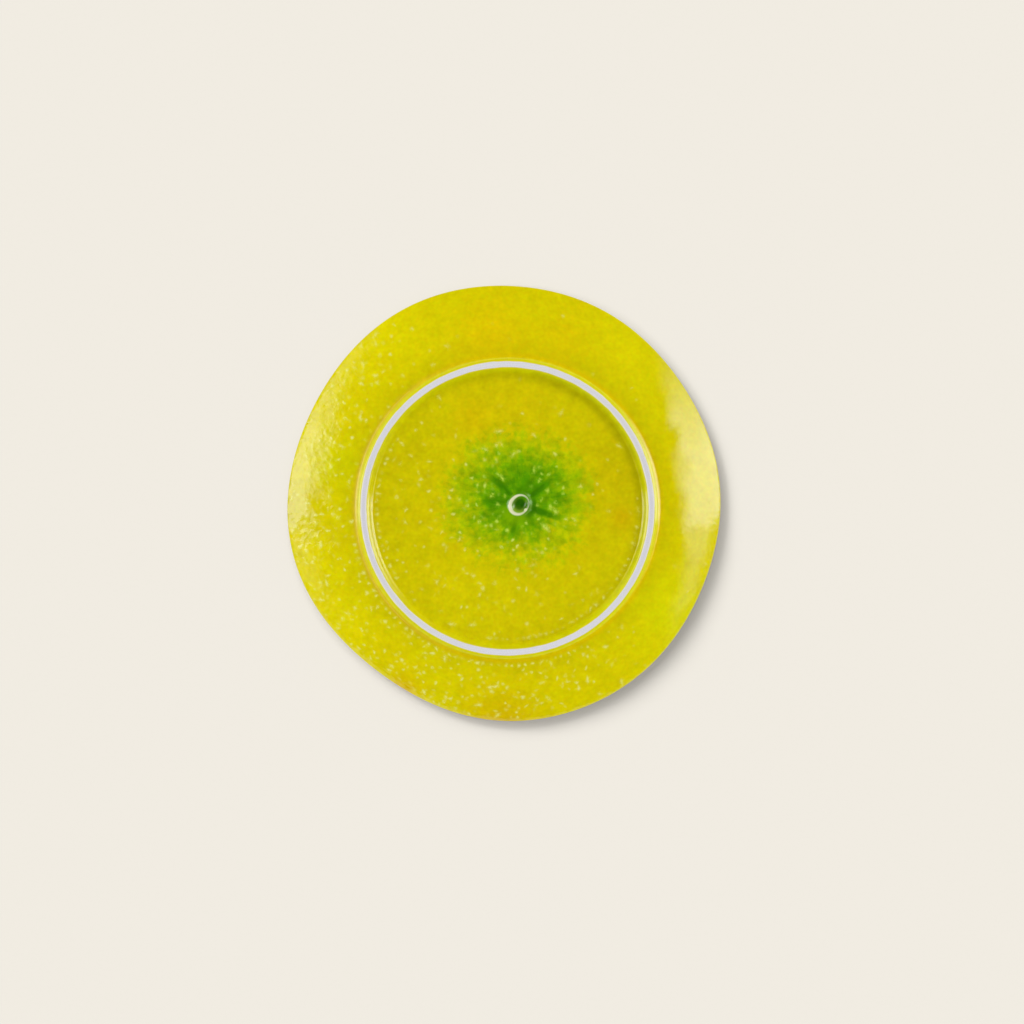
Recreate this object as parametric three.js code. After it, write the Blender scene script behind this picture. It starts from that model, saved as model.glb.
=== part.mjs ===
// A dessert plate of glazed earthenware whose underside is pressed and glazed like the
// stem end of a lemon. It lies face down: it stands on its rim, the eating face looks at
// the table, and the foot ring and the stem scar are on top.
//
// Millimetres, +Z up. The origin is the middle of the outline, on the table.

import * as THREE from 'three';

// Heights above the table, with the plate face down.
const footHeight = 22;
const panelHeight = 19;            // the underside inside the foot ring
const shoulderHeight = 18.95;      // the underside just outside the foot ring
const wellHeight = 13.8;           // the flat of the eating face

// Radii from the middle of the foot ring.
const rimRadius = 104.65;          // mean of the uneven outline
const footInnerRadius = 67.33;
const footOuterRadius = 70.5;
const wellRadius = 66;             // where the eating face starts to curve down to the rim

// The foot ring's sloping walls, and the hollow fillets where they meet the body.
const footWall = { run: 1.7, drop: 1.85 };
const footFillet = { run: 1.1, reach: 2.7 };

// The shoulder between the foot ring and the rim, in degrees below level.
const shoulderSlope = { atFoot: 10, atRim: 39 };

// The lip is round, with a narrow land on its crest that touches the table.
const lipRadius = 2.4;
const landWidth = 0.8;

// The outline is a circle with a few slow waves, as on a thing pressed by hand:
// how many waves go round, how far each stands out, and where its first crest is.
const outlineWaves = [
  { perTurn: 1, height: 3.0, crestAt: 115.5 },
  { perTurn: 2, height: 0.94, crestAt: -60.1 },
  { perTurn: 3, height: 0.54, crestAt: -54.8 },
  { perTurn: 4, height: 0.82, crestAt: 11.3 },
  { perTurn: 5, height: 0.33, crestAt: -19.5 },
  { perTurn: 6, height: 0.3, crestAt: 8.5 },
  { perTurn: 7, height: 0.14, crestAt: 7.4 },
];

// The stem scar is an oval ring with a dished middle, a little off the plate's centre.
const scar = { x: 5.72, y: 1.74, radius: 4.5, oval: 0.08, longWay: 48 };
const scarRidge = { height: 1.2, spread: 1.1 };
const scarDish = { depth: 0.8, flatTo: 1.2, openTo: 4 };

// Furrows run out from the scar, and the rind is puckered up a little between them.
const calyxFurrows = [
  { direction: 38, length: 25, depth: 0.85 },
  { direction: 134, length: 27, depth: 0.75 },
  { direction: 173, length: 20, depth: 0.65 },
  { direction: 257, length: 21, depth: 0.6 },
  { direction: 305, length: 17, depth: 0.45 },
  { direction: 341, length: 24, depth: 0.85 },
];
const furrow = { spread: 1.35, startsAt: 4, fullAt: 8, fadesFrom: 0.45 };
const pucker = { height: 0.45, spread: 13 };

// The rind's slow swelling, as two crossed pairs of waves, and one shallow dent.
const broadSwell = { height: 0.2, lengthX: 58, lengthY: 51, startX: 0.6, startY: 1.1 };
const slantSwell = { height: 0.12, lengthX: 37, lengthY: 42, startX: 2, startY: 0.4 };
const dent = { x: -86, y: -0.9, depth: 0.45, longSpread: 8, shortSpread: 3.5, longWay: -45 };

// Stretches of radius over which the relief comes and goes.
const panelFade = { from: footInnerRadius - 12, to: footInnerRadius - 5 };
const shoulderRise = { from: footOuterRadius + 4, to: footOuterRadius + 10 };
const lipFade = { from: rimRadius - 8, to: rimRadius - 2 };

// Fineness of the faceted solid.
const sectors = 80;
const calyxRadius = 28;
const panelSteps = { scar: 6, calyx: 7, open: 6 };
const rimSteps = { shoulder: 7, lip: 5, innerLip: 2 };
const faceSteps = { slope: 6, well: 5 };
const filletSteps = 3;

const { degToRad, smoothstep } = THREE.MathUtils;
const at = (radius, height) => new THREE.Vector2(radius, height);
const rise = (value, stretch) => smoothstep(value, stretch.from, stretch.to);
const bump = (distance, spread) => Math.exp(-((distance / spread) ** 2));

// Where the line that leaves a meets the line that reaches b. Each slope is a drop per
// unit of radius.
function meeting(a, slopeA, b, slopeB) {
  const radius = (b.y - a.y + slopeB * b.x - slopeA * a.x) / (slopeB - slopeA);
  return at(radius, a.y - slopeA * (radius - a.x));
}

// Half of the plate's section, drawn from the axis out over the underside, round the lip
// and back to the axis under the eating face. Turned round, it has to run the other way
// for its faces to point outwards. firstUnderside is where its underside points begin.
function plateSection() {
  const points = [];
  const follow = (curve, count) => points.push(...curve.getPoints(count).slice(points.length ? 1 : 0));
  const straight = (a, b, count = 1) => follow(new THREE.LineCurve(a, b), count);
  const bend = (a, corner, b, count) => follow(new THREE.QuadraticBezierCurve(a, corner, b), count);
  const arc = (centre, from, to, count) => {
    follow(new THREE.EllipseCurve(centre.x, centre.y, lipRadius, lipRadius, from, to, true), count);
  };

  // The panel inside the foot ring.
  const wallBaseHeight = footHeight - footWall.drop;
  const innerWallBase = at(footInnerRadius - footWall.run, wallBaseHeight);
  const innerCorner = at(innerWallBase.x - footFillet.run, panelHeight);
  const panelEdge = at(innerCorner.x - footFillet.reach, panelHeight);
  const scarEdge = at(2 * scar.radius, panelHeight);
  const calyxEdge = at(calyxRadius, panelHeight);
  straight(at(0, panelHeight), scarEdge, panelSteps.scar);
  straight(scarEdge, calyxEdge, panelSteps.calyx);
  straight(calyxEdge, panelEdge, panelSteps.open);

  // The foot ring.
  const slopeAtFoot = Math.tan(degToRad(shoulderSlope.atFoot));
  const footInnerEdge = at(footInnerRadius, footHeight);
  const footOuterEdge = at(footOuterRadius, footHeight);
  const outerWallBase = at(footOuterRadius + footWall.run, wallBaseHeight);
  const outerCorner = at(outerWallBase.x + footFillet.run, shoulderHeight);
  const shoulderTop = at(outerCorner.x + footFillet.reach, outerCorner.y - slopeAtFoot * footFillet.reach);
  bend(panelEdge, innerCorner, innerWallBase, filletSteps);
  straight(innerWallBase, footInnerEdge);
  straight(footInnerEdge, footOuterEdge);
  straight(footOuterEdge, outerWallBase);
  bend(outerWallBase, outerCorner, shoulderTop, filletSteps);

  // The shoulder, down to where the round lip takes over.
  const slopeAtRim = Math.tan(degToRad(shoulderSlope.atRim));
  const lipCentre = at(rimRadius - lipRadius, lipRadius);
  const lipStart = Math.PI / 2 - degToRad(shoulderSlope.atRim);
  const shoulderFoot = at(lipRadius, 0).rotateAround(at(0, 0), lipStart).add(lipCentre);
  const shoulderCorner = meeting(shoulderTop, slopeAtFoot, shoulderFoot, slopeAtRim);
  bend(shoulderTop, shoulderCorner, shoulderFoot, rimSteps.shoulder);
  const undersideCount = points.length;

  // The lip, with the land on its crest.
  const crest = -Math.PI / 2;
  const innerLipCentre = at(lipCentre.x - landWidth, lipCentre.y);
  arc(lipCentre, lipStart, crest, rimSteps.lip);
  straight(at(lipCentre.x, 0), at(innerLipCentre.x, 0));
  arc(innerLipCentre, crest, crest - degToRad(shoulderSlope.atRim), rimSteps.innerLip);

  // The eating face: up the slope and over the flat of the well.
  const slopeFoot = points.at(-1);
  const wellEdge = at(wellRadius, wellHeight);
  bend(slopeFoot, meeting(slopeFoot, slopeAtRim, wellEdge, 0), wellEdge, faceSteps.slope);
  straight(wellEdge, at(0, wellHeight), faceSteps.well);
  return { points: points.reverse(), firstUnderside: points.length - undersideCount };
}

// Distance from the foot ring's middle to the edge of the plate in one direction.
function outlineRadius(direction) {
  let radius = rimRadius;
  for (const { perTurn, height, crestAt } of outlineWaves) {
    radius += height * Math.cos(perTurn * (direction - degToRad(crestAt)));
  }
  return radius;
}

// The ring and the dish of the stem scar.
function scarRelief(distance, direction) {
  const ridgeRadius = scar.radius * (1 + scar.oval * Math.cos(2 * (direction - degToRad(scar.longWay))));
  const dish = 1 - smoothstep(distance, scarDish.flatTo, scarDish.openTo);
  return scarRidge.height * bump(distance - ridgeRadius, scarRidge.spread) - scarDish.depth * dish;
}

// The puckered rind around the scar, and the furrows that run out through it.
function calyxRelief(distance, direction) {
  let height = pucker.height * bump(distance, pucker.spread);
  for (const { direction: heading, length, depth } of calyxFurrows) {
    const turn = direction - degToRad(heading);
    const along = distance * Math.cos(turn);
    const aside = distance * Math.sin(turn);
    const start = smoothstep(along, furrow.startsAt, furrow.fullAt);
    const fade = 1 - smoothstep(along, furrow.fadesFrom * length, length);
    height -= depth * start * fade * bump(aside, furrow.spread);
  }
  return height;
}

// One crossed pair of waves, u and v millimetres along its two ways.
function swell({ height, lengthX, lengthY, startX, startY }, u, v) {
  const waveX = Math.sin((2 * Math.PI * u) / lengthX + startX);
  const waveY = Math.sin((2 * Math.PI * v) / lengthY + startY);
  return height * waveX * waveY;
}

// The slow swelling of the whole rind, and the dent.
function rindRelief(x, y) {
  const turn = degToRad(dent.longWay);
  const along = (x - dent.x) * Math.cos(turn) + (y - dent.y) * Math.sin(turn);
  const aside = (y - dent.y) * Math.cos(turn) - (x - dent.x) * Math.sin(turn);
  const dented = dent.depth * bump(along, dent.longSpread) * bump(aside, dent.shortSpread);
  return swell(broadSwell, x, y) + swell(slantSwell, x + y, x - y) - dented;
}

// Relief of the underside over its turned section, at a point whose mean radius is given.
function undersideRelief(x, y, radius) {
  const distance = Math.hypot(x - scar.x, y - scar.y);
  const direction = Math.atan2(y - scar.y, x - scar.x);
  const onPanel = 1 - rise(radius, panelFade);
  const onShoulder = rise(radius, shoulderRise) * (1 - rise(radius, lipFade));
  const stemEnd = scarRelief(distance, direction) + calyxRelief(distance, direction);
  return (onPanel + onShoulder) * rindRelief(x, y) + onPanel * stemEnd;
}

// Turns the section round, then moves each vertex: the rings near the middle are drawn
// over to the scar, the shoulder and rim are stretched out to the uneven outline, and the
// underside gets its relief.
function plateGeometry() {
  const { points, firstUnderside } = plateSection();
  const geometry = new THREE.LatheGeometry(points, sectors);
  geometry.rotateX(Math.PI / 2);
  const vertices = geometry.getAttribute('position');
  for (let i = 0; i < vertices.count; i += 1) {
    const onUnderside = i % points.length >= firstUnderside;
    const radius = points[i % points.length].x;
    const direction = Math.atan2(vertices.getY(i), vertices.getX(i));
    const stretch = (outlineRadius(direction) - shoulderRise.from) / (rimRadius - shoulderRise.from);
    const reach = radius + Math.max(0, radius - shoulderRise.from) * (stretch - 1);
    const drawnOver = onUnderside ? 1 - smoothstep(radius, 0, panelFade.to) : 0;
    const x = reach * Math.cos(direction) + drawnOver * scar.x;
    const y = reach * Math.sin(direction) + drawnOver * scar.y;
    const relief = onUnderside ? undersideRelief(x, y, radius) : 0;
    vertices.setXYZ(i, x, y, vertices.getZ(i) + relief);
  }

  // The origin goes from the foot ring's middle to the outline's.
  geometry.computeBoundingBox();
  const middle = geometry.boundingBox.getCenter(new THREE.Vector3());
  geometry.translate(-middle.x, -middle.y, -geometry.boundingBox.min.z);
  geometry.computeVertexNormals();
  return geometry;
}

const glaze = new THREE.MeshStandardMaterial({ color: 0xcdc002, roughness: 0.25, metalness: 0 });
const plate = new THREE.Mesh(plateGeometry(), glaze);
plate.name = 'plate';

const lemonPlate = new THREE.Group();
lemonPlate.add(plate);

export default lemonPlate;
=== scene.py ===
# %% [markdown]
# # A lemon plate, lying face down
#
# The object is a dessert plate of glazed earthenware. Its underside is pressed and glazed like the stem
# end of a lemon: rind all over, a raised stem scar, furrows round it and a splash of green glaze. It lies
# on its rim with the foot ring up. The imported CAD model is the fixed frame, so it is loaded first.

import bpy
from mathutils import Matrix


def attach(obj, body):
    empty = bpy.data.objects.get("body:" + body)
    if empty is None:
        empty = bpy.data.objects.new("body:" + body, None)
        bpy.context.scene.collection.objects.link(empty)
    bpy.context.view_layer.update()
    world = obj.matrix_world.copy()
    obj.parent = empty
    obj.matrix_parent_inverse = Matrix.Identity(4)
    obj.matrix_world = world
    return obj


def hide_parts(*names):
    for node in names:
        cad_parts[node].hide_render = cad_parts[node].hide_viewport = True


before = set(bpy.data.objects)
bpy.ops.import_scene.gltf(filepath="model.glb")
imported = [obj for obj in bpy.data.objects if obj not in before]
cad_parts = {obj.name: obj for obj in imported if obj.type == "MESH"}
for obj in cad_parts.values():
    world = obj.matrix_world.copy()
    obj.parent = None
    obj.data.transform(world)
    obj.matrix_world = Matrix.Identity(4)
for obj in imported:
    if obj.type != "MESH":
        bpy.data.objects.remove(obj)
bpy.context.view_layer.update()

# %% Libraries and units
import math

import bpy
import numpy as np
from mathutils import Vector
from mathutils.geometry import delaunay_2d_cdt
from mathutils.kdtree import KDTree

MM = 0.001
print("one millimetre in metres:", MM)

# %% [markdown]
# ## The frame's own measures
#
# The foot ring's flat is the highest thing on the solid, so its vertices give the ring's middle and both
# of its radii. Everything below is drawn round that middle in millimetres and moved into the frame at the
# very end, so the fine surface can't drift away from the solid that it stands for.

# %% Measure the foot ring on the solid
solid = np.array([vertex.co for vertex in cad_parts["plate"].data.vertices]) / MM
foot_height = solid[:, 2].max()
on_foot = solid[solid[:, 2] > foot_height - 0.01, :2]
foot_middle = (on_foot.min(0) + on_foot.max(0)) / 2
foot_radii = np.linalg.norm(on_foot - foot_middle, axis=1)
foot_inner, foot_outer = foot_radii.min(), foot_radii.max()
foot_centre = (foot_inner + foot_outer) / 2
print(f"foot ring: {foot_inner:.2f} to {foot_outer:.2f} mm, {foot_height:.1f} mm up")
print("its middle in mm:", foot_middle.round(2))

# %% [markdown]
# ## The section
#
# A plate is a turned thing, so its form is one line: out over the underside, round the lip and back over
# the eating face. The line could be a list of points, but straight stretches, bends and arcs say the same
# with a few sizes, and can be cut as finely as each stretch needs. A bend is a quadratic curve, which
# needs no more than its two ends and the corner between them.

# %% Three kinds of stretch
def placed(distance, direction, middle=(0, 0)):
    """Points at distances and directions, in radians, from a middle."""
    u, v = distance * np.cos(direction), distance * np.sin(direction)
    return np.column_stack((middle[0] + u, middle[1] + v))


def straight(start, end, count=1):
    share = np.linspace(0, 1, count + 1)[:, None]
    return start + (end - start) * share


def bend(start, corner, end, count):
    share = np.linspace(0, 1, count + 1)[:, None]
    return start * (1 - share) ** 2 + corner * 2 * share * (1 - share) + end * share**2


def arc(middle, radius, start, end, count):
    return placed(radius, np.radians(np.linspace(start, end, count + 1)), middle)


def joined(*stretches):
    return np.vstack([stretches[0], *(stretch[1:] for stretch in stretches[1:])])


middle_of_bend = bend(np.array((0, 0)), np.array((0, 1)), np.array((1, 1)), 2)[1]
print("a bend round the corner (0, 1) passes", middle_of_bend)

# %% Sizes of the section
panel_height, shoulder_height, well_height = 19.0, 19.5, 13.8
rim_radius, well_radius = 104.65, 66.0
foot_angle, rim_angle = 10, 39
slope_at_foot, slope_at_rim = math.tan(math.radians(foot_angle)), math.tan(math.radians(rim_angle))
print(f"shoulder: {shoulder_height} mm up at the foot ring, sloping {foot_angle} to {rim_angle} degrees")

# %% [markdown]
# ## The foot ring
#
# The foot ring stands about three millimetres proud. Its sides are straight walls that lean by about 45
# degrees and run out into the panel and the shoulder in small hollow fillets. The ring is wiped clean of
# glaze before firing, which rounds its two edges. So each side is a bend up the fillet, a straight wall
# and a bend over the edge to the flat, and one function makes both sides.

# %% The foot ring's stretch of the section
edge_round, inner_fillet, outer_fillet = 0.9, 0.7, 0.9
inner_run, outer_run = 2.85, 2.6


def towards(point, other, distance):
    return point + (other - point) * distance / np.linalg.norm(other - point)


def foot_side(start, corner, edge, other_edge, fillet):
    base, wall = towards(corner, edge, fillet), towards(edge, corner, edge_round)
    flat = towards(edge, other_edge, edge_round)
    return joined(bend(start, corner, base, 7), straight(base, wall, 3), bend(wall, edge, flat, 5))


inner_edge, outer_edge = np.array((foot_inner, foot_height)), np.array((foot_outer, foot_height))
inner_corner = np.array((foot_inner - inner_run, panel_height))
outer_corner = np.array((foot_outer + outer_run, shoulder_height))
panel_edge = inner_corner - (inner_fillet, 0)
shoulder_top = outer_corner + (outer_fillet, -slope_at_foot * outer_fillet)
inner_side = foot_side(panel_edge, inner_corner, inner_edge, outer_edge, inner_fillet)
outer_side = foot_side(shoulder_top, outer_corner, outer_edge, inner_edge, outer_fillet)[::-1]
whole_foot_line = joined(inner_side, straight(inner_side[-1], outer_side[0], 2), outer_side)
foot_line = whole_foot_line[1:-1]
panel_radius, shoulder_radius = foot_line[0][0], foot_line[-1][0]
print(f"foot ring section: {len(foot_line)} points, {panel_radius:.1f} to {shoulder_radius:.1f} mm out")

# %% [markdown]
# ## The shoulder, the lip and the eating face
#
# The shoulder falls in one long bend whose two ends have known slopes, so its corner is where those two
# slopes meet. The lip turns tightly at its outside, where the mould ends, and softly underneath, where it
# is sponged. The eating face is out of sight and plain: a slope that starts parallel to the shoulder's
# edge and bends into a flat well.

# %% The rest of the section
def meeting(start, start_slope, end, end_slope):
    """Where the line that leaves start meets the line that reaches end. Slopes are drops per mm outwards."""
    run = end[1] - start[1] + end_slope * end[0] - start_slope * start[0]
    radius = run / (end_slope - start_slope)
    return np.array((radius, start[1] - start_slope * (radius - start[0])))


crown_radius, lip_radius, land_width, well_centre = 0.8, 2.4, 0.8, 6.0
lip_middle = np.array((rim_radius - lip_radius, lip_radius))
crown_rise = (lip_radius - crown_radius) * math.tan(math.radians((90 - rim_angle) / 2))
crown_middle = (rim_radius - crown_radius, lip_radius + crown_rise)
crown = arc(crown_middle, crown_radius, 90 - rim_angle, 0, 6)
lip_turn = arc(lip_middle, lip_radius, 0, -90, 8)
lip_outside = joined(crown, straight(crown[-1], lip_turn[0]), lip_turn)
lip_inside = arc(lip_middle - (land_width, 0), lip_radius, -90, -90 - rim_angle, 4)
shoulder_foot, slope_foot, well_edge = lip_outside[0], lip_inside[-1], np.array((well_radius, well_height))
shoulder_corner = meeting(shoulder_top, slope_at_foot, shoulder_foot, slope_at_rim)
shoulder_line = bend(shoulder_top, shoulder_corner, shoulder_foot, 200)
back_line = joined(
    lip_outside,
    straight(lip_outside[-1], lip_inside[0]),
    lip_inside,
    bend(slope_foot, meeting(slope_foot, slope_at_rim, well_edge, 0), well_edge, 10),
    straight(well_edge, np.array((well_centre, well_height)), 6),
)
underside_line = joined(np.array([[0, panel_height], panel_edge]), whole_foot_line, shoulder_line)


def underside_height(radius):
    """Height of the turned section's upper side."""
    return np.interp(radius, underside_line[:, 0], underside_line[:, 1])


print("lip and eating face section:", len(back_line), "points")

# %% [markdown]
# ## The uneven outline and the relief
#
# The plate isn't round: it was pressed in a mould taken from a fruit. Its edge is a circle with seven
# slow waves, and the shoulder is stretched out to it. The relief is added to the height: the scar's ring
# and dish, the furrows that run out from it, the slow swelling of the rind and one dent. These are the
# same formulas as the solid's, written for whole arrays of points at once.

# %% The outline
outline_waves = (  # waves per turn, height in mm, direction of the first crest in degrees
    (1, 3.0, 115.5),
    (2, 0.94, -60.1),
    (3, 0.54, -54.8),
    (4, 0.82, 11.3),
    (5, 0.33, -19.5),
    (6, 0.3, 8.5),
    (7, 0.14, 7.4),
)
stretch_start = foot_outer + 4


def outline_radius(direction):
    crests = 0
    for count, height, crest in outline_waves:
        crests = crests + height * np.cos(count * (direction - math.radians(crest)))
    return rim_radius + crests


def stretched(u, v):
    """Moves points of the round plan out to the uneven one."""
    radius, direction = np.hypot(u, v), np.arctan2(v, u)
    stretch = (outline_radius(direction) - stretch_start) / (rim_radius - stretch_start)
    reach = radius + np.maximum(0, radius - stretch_start) * (stretch - 1)
    return placed(reach, direction).T


outline = outline_radius(np.radians(np.arange(360)))
print(f"outline: {outline.min():.1f} to {outline.max():.1f} mm from the ring's middle")

# %% The stem scar
def rise(value, start, end):
    share = np.clip((value - start) / (end - start), 0, 1)
    return share * share * (3 - 2 * share)


def bump(distance, spread):
    return np.exp(-((distance / spread) ** 2))


scar_x, scar_y, scar_radius, scar_oval, scar_long_way = 5.72, 1.74, 4.5, 0.08, math.radians(48)
scar_ridge, scar_spread, scar_dish, dish_flat, dish_edge = 1.2, 1.1, 0.8, 1.2, 4


def scar_polar(x, y):
    return np.hypot(x - scar_x, y - scar_y), np.arctan2(y - scar_y, x - scar_x)


def scar_ridge_radius(direction):
    return scar_radius * (1 + scar_oval * np.cos(2 * (direction - scar_long_way)))


def scar_relief(distance, direction):
    ridge = scar_ridge * bump(distance - scar_ridge_radius(direction), scar_spread)
    return ridge - scar_dish * (1 - rise(distance, dish_flat, dish_edge))


print(f"scar: {-scar_relief(0, 0):.1f} mm deep in its middle, its ridge {scar_radius} mm from there")

# %% The furrows round the scar
furrows = (  # heading in degrees, length and depth
    (38, 25, 0.85),
    (134, 27, 0.75),
    (173, 20, 0.65),
    (257, 21, 0.6),
    (305, 17, 0.45),
    (341, 24, 0.85),
)
furrow_spread, stem_swell, stem_spread = 1.35, 0.45, 13


def furrow_depth(distance, direction):
    depth = 0
    for heading, length, deepest in furrows:
        turn = direction - math.radians(heading)
        along, aside = distance * np.cos(turn), distance * np.sin(turn)
        fade = rise(along, 4, 8) * (1 - rise(along, 0.45 * length, length))
        depth = depth + deepest * fade * bump(aside, furrow_spread)
    return depth


def calyx_relief(distance, direction):
    return stem_swell * bump(distance, stem_spread) - furrow_depth(distance, direction)


print("furrows:", len(furrows))

# %% The swelling of the rind and the dent
def turned(u, v, heading):
    """The same points after a turn by heading, in radians."""
    way_x, way_y = np.cos(heading), np.sin(heading)
    return u * way_x - v * way_y, u * way_y + v * way_x


def swell(height, u, v, length_u, length_v, start_u, start_v):
    return height * np.sin(math.tau * u / length_u + start_u) * np.sin(math.tau * v / length_v + start_v)


dent_x, dent_y, dent_way = -86, -0.9, math.radians(-45)
dent_deep, dent_long, dent_wide = 0.45, 8, 3.5


def dent_depth(x, y):
    along, aside = turned(x - dent_x, y - dent_y, -dent_way)
    return dent_deep * bump(along, dent_long) * bump(aside, dent_wide)


def rind_relief(x, y):
    broad = swell(0.2, x, y, 58, 51, 0.6, 1.1)
    slant = swell(0.12, x + y, x - y, 37, 42, 2, 0.4)
    return broad + slant - dent_depth(x, y)


print(f"dent: {dent_depth(dent_x, dent_y):.2f} mm deep in its middle")

# %% The whole relief
def near_lip(radius):
    return rise(radius, rim_radius - 8, rim_radius - 2)


def relief(x, y, radius):
    """What the underside adds to its section. It dies out at the foot ring and at the lip."""
    on_panel = 1 - rise(radius, foot_inner - 12, foot_inner - 5)
    on_shoulder = rise(radius, stretch_start, stretch_start + 6) * (1 - near_lip(radius))
    distance, direction = scar_polar(x, y)
    stem_end = scar_relief(distance, direction) + calyx_relief(distance, direction)
    return (on_panel + on_shoulder) * rind_relief(x, y) + on_panel * stem_end


print(f"relief in the scar's middle: {relief(scar_x, scar_y, math.hypot(scar_x, scar_y)):.2f} mm")

# %% [markdown]
# ## Finer unevenness
#
# Under a glossy glaze, clay that is a few hundredths of a millimetre out of true already bends a
# reflection. Fourteen long waves with seeded headings and lengths, far too low to change a size, give the
# surface that life. Each has the same steepest slope, so a longer wave is higher.

# %% Low waves in the clay
wave_dice = np.random.default_rng(20)
wave_slope = 0.0055
low_waves = [
    (math.tau / wave_dice.uniform(7, 20), wave_dice.uniform(0, math.tau), wave_dice.uniform(0, math.tau))
    for _ in range(14)
]


def clay_waves(x, y):
    total = 0
    for rate, heading, start in low_waves:
        total = total + np.sin(rate * (x * math.cos(heading) + y * math.sin(heading)) + start) / rate
    return wave_slope * total


sample = clay_waves(*np.meshgrid(np.arange(-90, 91), np.arange(-90, 91)))
print(f"clay waves: {sample.std():.3f} mm on average, {abs(sample).max():.3f} mm at most")

# %% [markdown]
# ## Grains and pores
#
# A lemon's rind has two kinds of mark. Pores are shallow round hollows about three millimetres apart.
# Grains are fewer: low raised specks and short bent strokes. Each grain is painted pale, partly as pale
# body where the glaze runs thin over it and partly as painted glints, which gather on the coarse side.
# Both kinds could be a bump in the material, but then they would be missing from the mesh, so each is
# modelled: a middle vertex pushed in or out, with rings of vertices round it. Most are thrown at random
# and kept only where no other is too near. The large ones round the stem are placed one by one, and rows
# follow the foot ring and the furrows. One side of the plate is much coarser than the other.

# %% Throw points that keep their distance
def cell_of(point, side):
    return int(point[0] // side), int(point[1] // side)


def thrown(candidates, spacing, taken=()):
    """The candidates that lie at least spacing from those already kept and from the taken points."""
    cells, kept = {}, []
    for point in taken:
        cells.setdefault(cell_of(point, spacing), []).append(point)
    for point in candidates:
        column, row = cell_of(point, spacing)
        near_cells = [(column + i, row + j) for i in (-1, 0, 1) for j in (-1, 0, 1)]
        others = [other for cell in near_cells for other in cells.get(cell, ())]
        if all((point[0] - x) ** 2 + (point[1] - y) ** 2 >= spacing**2 for x, y in others):
            cells.setdefault((column, row), []).append(point)
            kept.append(point)
    return np.array(kept)


def disc_candidates(dice, count, radius):
    return placed(radius * np.sqrt(dice.random(count)), math.tau * dice.random(count))


trial = thrown(disc_candidates(np.random.default_rng(1), 500, 20).tolist(), 3)
print("of 500 points on a disc 40 mm wide, kept 3 mm apart:", len(trial))

# %% Where a mark fits
shoulder_end, scar_reach = shoulder_foot[0], 8


def off_the_rings(points, clearance, lip_clearance):
    """True on the panel and on the shoulder, clear of the foot ring and the lip."""
    radius = np.hypot(*points.T)
    on_shoulder = (radius > shoulder_radius + clearance) & (radius < shoulder_end - lip_clearance)
    return (radius < panel_radius - clearance) | on_shoulder


def room_for_marks(points):
    return off_the_rings(points, 1.1, 1) & (scar_polar(*points.T)[0] > scar_reach)


print("of those points, clear of the scar:", room_for_marks(trial).sum())

# %% How coarse the rind is
coarse_way = math.radians(215)


def coarseness(x, y):
    """1 where the rind is coarsest, down to 0 where it is smooth."""
    radius, direction = np.hypot(x, y), np.arctan2(y, x)
    side = rise(np.cos(direction - coarse_way), -0.35, 0.45)
    near_stem = bump(scar_polar(x, y)[0] - 14, 9)
    on_panel = 1 - rise(radius, foot_inner - 8, foot_outer)
    return side + on_panel * (0.07 - 0.72 * side + 0.3 * near_stem)


print(f"coarseness left {coarseness(-95, 0):.2f}, right {coarseness(95, 0):.2f}")

# %% Grains round the stem
stem_marks = (  # direction and distance from the scar, half length, heading
    (-10, 17.3, 2.3, -53),
    (-41, 16.4, 3.2, -42),
    (-37, 11.5, 1.1, 20),
    (151, 18.9, 1.5, 80),
    (247, 22.0, 1.2, -30),
    (267, 19.9, 1.2, 60),
    (188, 32.0, 1.3, 10),
    (174, 33.8, 1.4, -60),
    (55, 29.7, 1.4, -40),
    (168, 33.2, 1.2, 30),
    (205, 31.4, 1.1, -20),
    (-17, 23.3, 1.2, -20),
    (259, 17.2, 1.1, 50),
    (-70, 9.4, 1.2, -60),
    (46, 20.2, 1.3, 30),
    (21, 22.6, 1.2, 60),
    (112, 26.5, 1.1, -60),
    (123, 15.2, 1.8, -70),
    (151, 26, 1.2, 20),
)
stem_turn, stem_distance, stem_half, stem_heading = np.array(stem_marks).T
stem_grains = placed(stem_distance, np.radians(stem_turn), (scar_x, scar_y))
print("grains placed by hand:", len(stem_grains))

# %% Throw the grains
grain_spacing, pore_spacing = 2.2, 2.8
dice = np.random.default_rng(7)
candidates = disc_candidates(dice, 3500, shoulder_end)
crowding = np.clip(1 + 16 * clay_waves(*candidates.T), 0.25, 2)
likely = (0.02 + 0.72 * coarseness(*candidates.T)) * crowding
wanted = dice.random(len(candidates)) < likely
free_grains = candidates[wanted & room_for_marks(candidates)]


def grain_row(start, end, radius, gap):
    """Grains in a row along a stretch of a fillet, directions in degrees."""
    count = round(math.radians(end - start) * radius / gap)
    turn = np.radians(start + (end - start) * (np.arange(count) + 0.4 * dice.random(count)) / count)
    return placed(radius + 0.5 * dice.random(count), turn)


def pleat_grains(heading, length):
    """Grains on the raised edges of one furrow."""
    along = np.linspace(9, length, 4) + 1.5 * dice.random(4)
    aside = np.where(dice.random(4) < 0.5, -1, 1) * (2.6 + 1.2 * dice.random(4))
    return np.column_stack(turned(along, aside, math.radians(heading))) + (scar_x, scar_y)


row_inside, row_outside = panel_radius - 1.6, shoulder_radius + 1.4
rows = [grain_row(262, 366, row_inside, 2.7), grain_row(150, 215, row_inside, 3.6)]
rows += [grain_row(190, 300, row_outside, 3.4)]
rows += [pleat_grains(heading, length) for heading, length, _ in furrows]
grains = thrown(np.vstack((stem_grains, *rows, free_grains)).tolist(), grain_spacing)
grain_total = len(grains)
print(f"grains: {grain_total}, of which {(np.hypot(*grains.T) < foot_inner).sum()} on the panel")

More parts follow.
